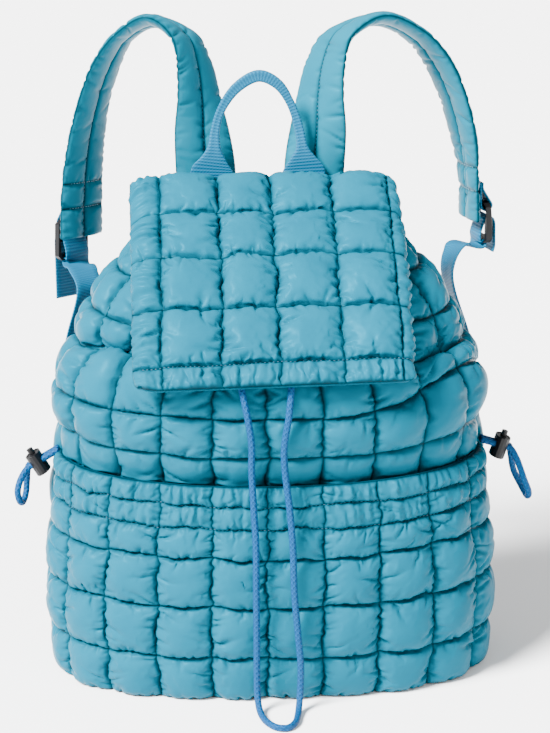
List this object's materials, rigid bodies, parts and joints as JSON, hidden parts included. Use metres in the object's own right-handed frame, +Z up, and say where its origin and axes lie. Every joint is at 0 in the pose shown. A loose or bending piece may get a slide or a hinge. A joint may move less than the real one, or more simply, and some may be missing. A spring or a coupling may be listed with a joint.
{
  "type": "quilted puffer backpack",
  "caption": "Soft quilted backpack with a cord-gathered mouth under a quilted flap, a front pocket, padded shoulder straps on webbing and a grab handle.",
  "frame": {"origin": "middle of the base pad's underside, on the ground the bag stands on", "axes": "+Z up, -Y towards the front with the pocket and the flap, +X to the right as seen from the front"},
  "size_m": [0.3942, 0.2871, 0.4855],
  "materials": {
    "quilted_nylon": "satin",
    "strap_nylon": "satin",
    "webbing": "woven",
    "braided_cord": "braided",
    "black_plastic": "gloss"
  },
  "bodies": {
    "bag": {"body": "quilted_nylon", "base_pad": "quilted_nylon", "front_pocket": "quilted_nylon", "mouth_casing": "quilted_nylon", "flap": "quilted_nylon", "grab_handle": "webbing", "drawcord": "braided_cord", "shoulder_strap_left": "strap_nylon", "buckle_loop_left": "webbing", "strap_buckle_left": "black_plastic", "strap_webbing_left": "webbing", "side_cord_left": "braided_cord", "cord_lock_barrel_left": "black_plastic", "shoulder_strap_right": "strap_nylon", "buckle_loop_right": "webbing", "strap_buckle_right": "black_plastic", "strap_webbing_right": "webbing", "side_cord_right": "braided_cord", "cord_lock_barrel_right": "black_plastic"},
    "lock_button_left": {"cord_lock_button_left": "black_plastic"},
    "lock_button_right": {"cord_lock_button_right": "black_plastic"}
  },
  "joints": [
    {"name": "press_left", "type": "slide", "parent": "bag", "child": "lock_button_left", "axis": [0.515, 0, -0.8572], "range_m": [0, 0.003], "stiffness_N_per_m": 800},
    {"name": "press_right", "type": "slide", "parent": "bag", "child": "lock_button_right", "axis": [-0.309, 0, -0.9511], "range_m": [0, 0.003], "stiffness_N_per_m": 800}
  ]
}
